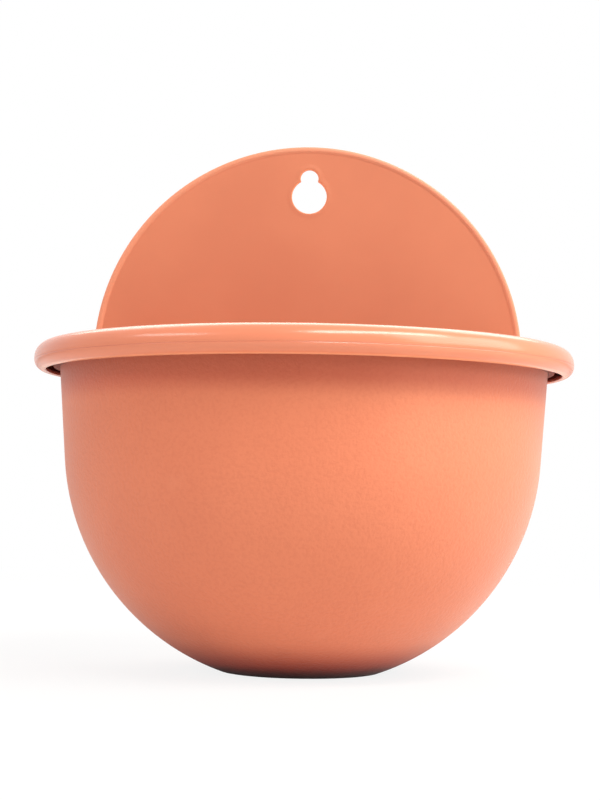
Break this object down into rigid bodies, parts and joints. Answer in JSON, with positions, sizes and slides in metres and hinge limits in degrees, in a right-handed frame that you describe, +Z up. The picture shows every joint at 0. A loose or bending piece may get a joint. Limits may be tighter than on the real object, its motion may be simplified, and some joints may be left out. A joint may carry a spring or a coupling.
{
  "type": "wall planter",
  "caption": "Half-round wall planter: flat-backed ball-shaped bowl with a rolled rim, an arched back plate with a keyhole, a lift-out drain grid and a drain plug.",
  "frame": {"origin": "centre of the foot, on the bowl's axis, at the height that the foot stands on", "axes": "+Z up along the bowl's axis, +Y towards the wall, square to the back plate, +X to the right as seen from the front"},
  "size_m": [0.2002, 0.1525, 0.2072],
  "materials": {
    "grained_shell": "fine moulded grain, matte",
    "smooth_rim": "smooth, satin",
    "smooth_plate": "smooth, satin",
    "inner_grid": "smooth, matte",
    "plug_rubber": "matte"
  },
  "bodies": {
    "planter": {"bowl": "grained_shell", "rim_ring": "smooth_rim", "back_plate": "smooth_plate"},
    "grid": {"drain_grid": "inner_grid"},
    "plug": {"drain_plug": "plug_rubber"}
  },
  "joints": [
    {"name": "grid_lift", "type": "slide", "parent": "planter", "child": "grid", "axis": [0, 0, 1], "range_m": [0, 0.105]},
    {"name": "plug_pull", "type": "slide", "parent": "planter", "child": "plug", "axis": [0, 0, -1], "range_m": [0, 0.02]}
  ]
}
